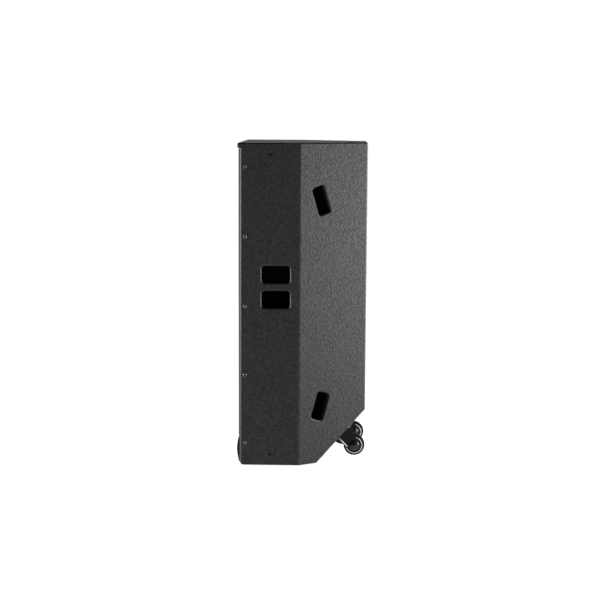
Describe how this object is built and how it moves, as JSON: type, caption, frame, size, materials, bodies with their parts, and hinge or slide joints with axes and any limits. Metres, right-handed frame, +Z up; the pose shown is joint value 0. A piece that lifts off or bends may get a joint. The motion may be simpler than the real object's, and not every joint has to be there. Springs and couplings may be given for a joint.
{
  "type": "line array speaker",
  "caption": "Tall tapered loudspeaker cabinet with bar handles, slanted hand slots, front grille, drive units and rear casters on a slanted base corner.",
  "frame": {"origin": "centre of the bounding box's bottom, on the floor under the feet", "axes": "+Z up, the grille faces -Y, the side seen in the picture is +X"},
  "size_m": [0.56, 0.477, 1.196],
  "materials": {
    "textured_coating": "plywood under a black textured polyurea coating",
    "grille_steel": "black powder coat, perforated",
    "foam": "open-cell black foam",
    "plated_steel": "zinc plate",
    "black_steel": "satin black",
    "moulded_plastic": "matte black",
    "rubber": "matte black",
    "wheel_hub": "moulded dark grey nylon",
    "cone_paper": "treated black paper pulp",
    "cast_basket": "black cast frame",
    "circuit_board": "solder mask"
  },
  "bodies": {
    "cabinet": {"top_panel": "textured_coating", "bottom_panel": "textured_coating", "back_panel": "textured_coating", "slant_panel": "textured_coating", "baffle_board": "textured_coating", "side_panel_right": "textured_coating", "side_panel_left": "textured_coating", "taper_panel_right": "textured_coating", "taper_panel_left": "textured_coating", "grille": "grille_steel", "grille_foam": "foam", "grille_screw_right_1": "plated_steel", "grille_screw_right_2": "plated_steel", "grille_screw_right_3": "plated_steel", "grille_screw_right_4": "plated_steel", "grille_screw_right_5": "plated_steel", "grille_screw_left_1": "plated_steel", "grille_screw_left_2": "plated_steel", "grille_screw_left_3": "plated_steel", "grille_screw_left_4": "plated_steel", "grille_screw_left_5": "plated_steel", "caster_axle_right": "plated_steel", "caster_axle_left": "plated_steel", "rigging_plug_right_lower": "black_steel", "rigging_plug_right_upper": "black_steel", "rigging_plug_left_lower": "black_steel", "rigging_plug_left_upper": "black_steel", "caster_bracket_right": "black_steel", "caster_bracket_left": "black_steel", "woofer_magnet_lower": "black_steel", "woofer_magnet_upper": "black_steel", "compression_driver": "black_steel", "connection_dish": "black_steel", "handle_cup_right": "moulded_plastic", "handle_cup_left": "moulded_plastic", "slot_cup_right_lower": "moulded_plastic", "slot_cup_right_upper": "moulded_plastic", "slot_cup_left_lower": "moulded_plastic", "slot_cup_left_upper": "moulded_plastic", "horn_flare": "moulded_plastic", "speaker_socket_1": "moulded_plastic", "speaker_socket_2": "moulded_plastic", "front_bumper_right": "rubber", "front_bumper_left": "rubber", "foot_right_front": "rubber", "foot_right_rear": "rubber", "foot_left_front": "rubber", "foot_left_rear": "rubber", "woofer_surround_lower": "rubber", "woofer_surround_upper": "rubber", "woofer_basket_lower": "cast_basket", "woofer_basket_upper": "cast_basket", "crossover_board": "circuit_board"},
    "wheel_right": {"wheel_hub_right": "wheel_hub", "wheel_tyre_right": "rubber"},
    "wheel_left": {"wheel_hub_left": "wheel_hub", "wheel_tyre_left": "rubber"},
    "cone_lower": {"woofer_cone_lower": "cone_paper"},
    "cone_upper": {"woofer_cone_upper": "cone_paper"},
    "selector": {"mode_switch": "moulded_plastic"}
  },
  "joints": [
    {"name": "wheel_right_spin", "type": "hinge", "parent": "cabinet", "child": "wheel_right", "pos_m": [0.111, 0.19843, 0.04744], "axis": [1, 0, 0], "continuous": true},
    {"name": "wheel_left_spin", "type": "hinge", "parent": "cabinet", "child": "wheel_left", "pos_m": [-0.111, 0.19843, 0.04744], "axis": [1, 0, 0], "continuous": true},
    {"name": "cone_lower_stroke", "type": "slide", "parent": "cabinet", "child": "cone_lower", "axis": [0, -1, 0], "range_m": [-0.006, 0.006], "stiffness_N_per_m": 6000},
    {"name": "cone_upper_stroke", "type": "slide", "parent": "cabinet", "child": "cone_upper", "axis": [0, -1, 0], "range_m": [-0.006, 0.006], "stiffness_N_per_m": 6000},
    {"name": "mode_switch_turn", "type": "hinge", "parent": "cabinet", "child": "selector", "pos_m": [0.05, 0.1985, 0.64], "axis": [0, 1, 0], "range_deg": [0, 60]}
  ]
}
